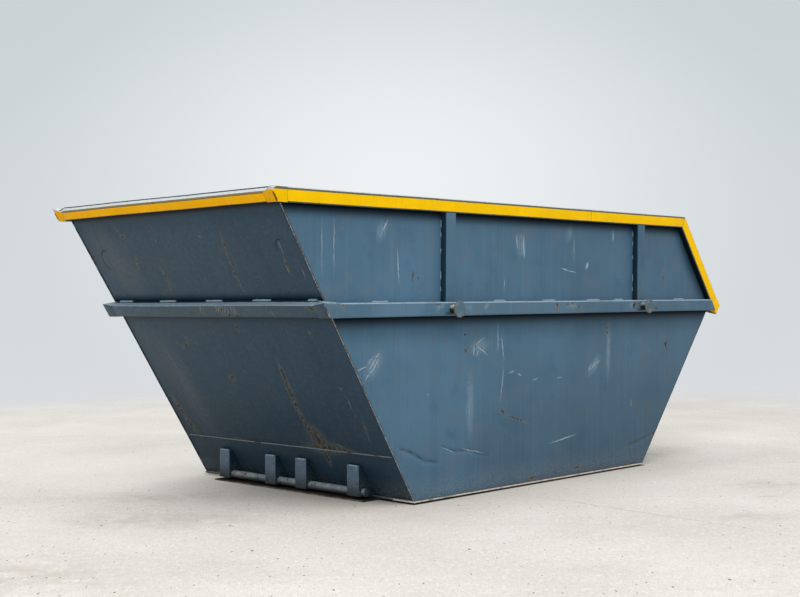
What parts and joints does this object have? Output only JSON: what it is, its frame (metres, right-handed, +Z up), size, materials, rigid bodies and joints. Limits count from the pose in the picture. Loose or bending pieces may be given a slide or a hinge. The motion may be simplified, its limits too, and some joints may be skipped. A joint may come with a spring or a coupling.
{
  "type": "chain-lift waste skip",
  "caption": "Open steel waste skip with sloping ends, a low lip, a folded rim and mid rail, lifting lugs on both sides and a tipping bar at the foot of the tall end.",
  "frame": {"origin": "on the ground, under the middle of the skip's overall length and width", "axes": "+X along the skip towards the low loading lip, with the tipping bar at -X; +Y to the left side; +Z up"},
  "size_m": [4.0456, 2.0568, 1.6258],
  "materials": {
    "body_blue": "worn slate blue gloss paint, scratched and rust-spotted",
    "rim_yellow": "yellow paint on the outer faces, blue on the edges",
    "worn_steel": "paint worn off by chains and hooks",
    "rusty_steel": "bare rusty plate, scraped"
  },
  "bodies": {
    "root": {"floor_plate": "body_blue", "left_side_plate": "body_blue", "right_side_plate": "body_blue", "front_plate_lower": "body_blue", "front_plate_upper": "body_blue", "rear_plate": "body_blue", "front_rail": "body_blue", "left_side_rail": "body_blue", "right_side_rail": "body_blue", "left_rail_corner": "body_blue", "right_rail_corner": "body_blue", "left_upright_front": "body_blue", "left_upright_rear": "body_blue", "right_upright_front": "body_blue", "right_upright_rear": "body_blue", "left_lug_disc_front": "body_blue", "left_lug_disc_rear": "body_blue", "right_lug_disc_front": "body_blue", "right_lug_disc_rear": "body_blue", "tipping_bar_bracket_1": "body_blue", "tipping_bar_bracket_2": "body_blue", "tipping_bar_bracket_3": "body_blue", "tipping_bar_bracket_4": "body_blue", "front_top_rim": "rim_yellow", "rear_lip_rim": "rim_yellow", "left_top_rim_front": "rim_yellow", "left_top_rim_rear": "rim_yellow", "left_slope_rim": "rim_yellow", "left_rim_corner": "rim_yellow", "left_lip_corner": "rim_yellow", "right_top_rim_front": "rim_yellow", "right_top_rim_rear": "rim_yellow", "right_slope_rim": "rim_yellow", "right_rim_corner": "rim_yellow", "right_lip_corner": "rim_yellow", "left_lug_pin_front": "worn_steel", "left_lug_pin_rear": "worn_steel", "right_lug_pin_front": "worn_steel", "right_lug_pin_rear": "worn_steel", "tipping_bar": "worn_steel", "tipping_bar_base_plate": "rusty_steel", "skid_runner_left": "rusty_steel", "skid_runner_centre": "rusty_steel", "skid_runner_right": "rusty_steel"}
  },
  "joints": []
}
